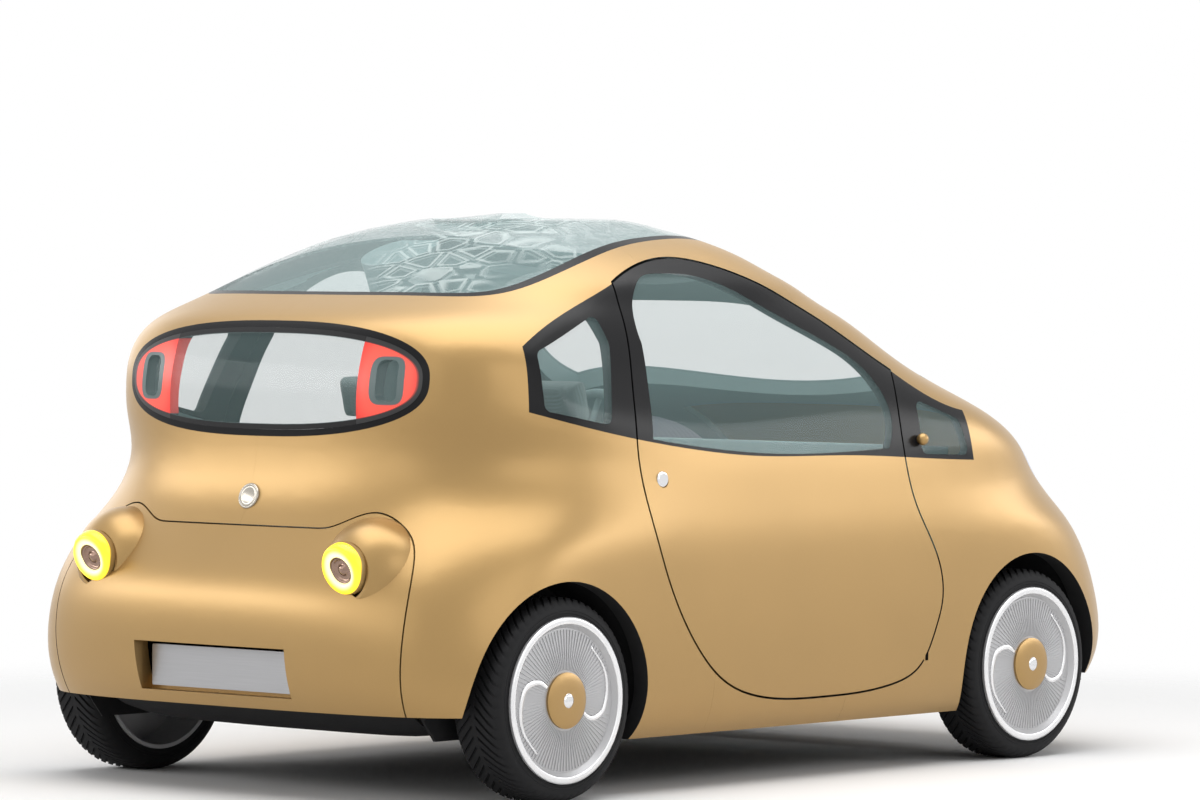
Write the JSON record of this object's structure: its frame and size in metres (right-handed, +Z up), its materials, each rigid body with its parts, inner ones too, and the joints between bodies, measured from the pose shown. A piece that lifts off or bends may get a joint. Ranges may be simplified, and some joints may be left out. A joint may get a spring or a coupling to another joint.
{
  "type": "concept car",
  "caption": "Small two-door electric city car with a rounded one-box body, a glass dome roof, an oval rear window, hinged doors and bonnet, steered front wheels and rolling wheels.",
  "frame": {"origin": "on the ground under the middle of the car's overall box", "axes": "+X to the nose, +Y to the car's left, +Z up"},
  "size_m": [3.0461, 1.7212, 1.55],
  "materials": {
    "paint": "satin metallic gold paint",
    "cap_paint": "satin metallic gold paint",
    "black_trim": "gloss black",
    "glass": "pale tinted glass",
    "lamp_red": "red lens",
    "lamp_amber": "yellow lens",
    "lamp_clear": "clear lens",
    "chrome": "polished",
    "plate": "brushed, blank",
    "underbody": "matte black",
    "steel": "dark painted iron",
    "seat": "teal grey fabric",
    "cabin_trim": "teal grey moulded trim",
    "tyre": "black rubber",
    "wheel": "bright silver"
  },
  "bodies": {
    "body": {"body_shell": "paint", "rear_panel": "paint", "front_panel": "paint", "camera_pods": "paint", "quarter_frames": "black_trim", "roof_seal": "black_trim", "rear_window_rim": "black_trim", "quarter_glass": "glass", "roof_glass": "glass", "windscreen": "glass", "rear_window": "glass", "tail_lamps": "lamp_red", "ring_lamps": "lamp_amber", "ring_lamp_centres": "chrome", "headlamps": "lamp_clear", "number_plate": "plate", "floor_pan": "underbody", "wheel_housings": "underbody", "battery_pack": "underbody", "motor": "steel", "front_subframe": "steel", "rear_axle": "steel", "seat_right": "seat", "seat_left": "seat", "dashboard": "cabin_trim", "steering_column": "cabin_trim", "roof_trunk": "cabin_trim"},
    "door_right": {"door_panel_right": "paint", "door_frame_right": "black_trim", "door_glass_right": "glass", "door_button_right": "chrome"},
    "door_left": {"door_panel_left": "paint", "door_frame_left": "black_trim", "door_glass_left": "glass", "door_button_left": "chrome"},
    "bonnet": {"bonnet": "paint"},
    "steering_wheel": {"steering_wheel": "cabin_trim"},
    "knuckle_right": {"knuckle_right": "steel"},
    "knuckle_left": {"knuckle_left": "steel"},
    "wheel_front_right": {"tyre_front_right": "tyre", "wheel_front_right": "wheel", "hub_cap_front_right": "cap_paint"},
    "wheel_front_left": {"tyre_front_left": "tyre", "wheel_front_left": "wheel", "hub_cap_front_left": "cap_paint"},
    "wheel_rear_right": {"tyre_rear_right": "tyre", "wheel_rear_right": "wheel", "hub_cap_rear_right": "cap_paint"},
    "wheel_rear_left": {"tyre_rear_left": "tyre", "wheel_rear_left": "wheel", "hub_cap_rear_left": "cap_paint"}
  },
  "joints": [
    {"name": "door_right_hinge", "type": "hinge", "parent": "body", "child": "door_right", "pos_m": [0.452, -0.85, 0.6], "axis": [0, 0, 1], "range_deg": [0, 65]},
    {"name": "door_left_hinge", "type": "hinge", "parent": "body", "child": "door_left", "pos_m": [0.452, 0.85, 0.6], "axis": [0, 0, -1], "range_deg": [0, 65]},
    {"name": "bonnet_hinge", "type": "hinge", "parent": "body", "child": "bonnet", "pos_m": [0.982, 0, 1.03], "axis": [0, -1, 0], "range_deg": [0, 60]},
    {"name": "steer_left", "type": "hinge", "parent": "body", "child": "knuckle_left", "pos_m": [0.95, 0.705, 0.27], "axis": [0, 0, 1], "range_deg": [-30, 30]},
    {"name": "steer_right", "type": "hinge", "parent": "body", "child": "knuckle_right", "pos_m": [0.95, -0.705, 0.27], "axis": [0, 0, 1], "range_deg": [-30, 30]},
    {"name": "steering_wheel_turn", "type": "hinge", "parent": "body", "child": "steering_wheel", "pos_m": [0.33, 0.33, 0.87], "axis": [-0.9063, 0, 0.4226], "range_deg": [-450, 450]},
    {"name": "wheel_front_right_spin", "type": "hinge", "parent": "knuckle_right", "child": "wheel_front_right", "pos_m": [0.95, -0.755, 0.27], "axis": [0, 1, 0], "continuous": true},
    {"name": "wheel_front_left_spin", "type": "hinge", "parent": "knuckle_left", "child": "wheel_front_left", "pos_m": [0.95, 0.755, 0.27], "axis": [0, 1, 0], "continuous": true},
    {"name": "wheel_rear_right_spin", "type": "hinge", "parent": "body", "child": "wheel_rear_right", "pos_m": [-1.03, -0.755, 0.27], "axis": [0, 1, 0], "continuous": true},
    {"name": "wheel_rear_left_spin", "type": "hinge", "parent": "body", "child": "wheel_rear_left", "pos_m": [-1.03, 0.755, 0.27], "axis": [0, 1, 0], "continuous": true}
  ],
  "couplings": [
    {"joint": "steer_right", "follows": "steer_left", "ratio": 1},
    {"joint": "steering_wheel_turn", "follows": "steer_left", "ratio": 15}
  ]
}
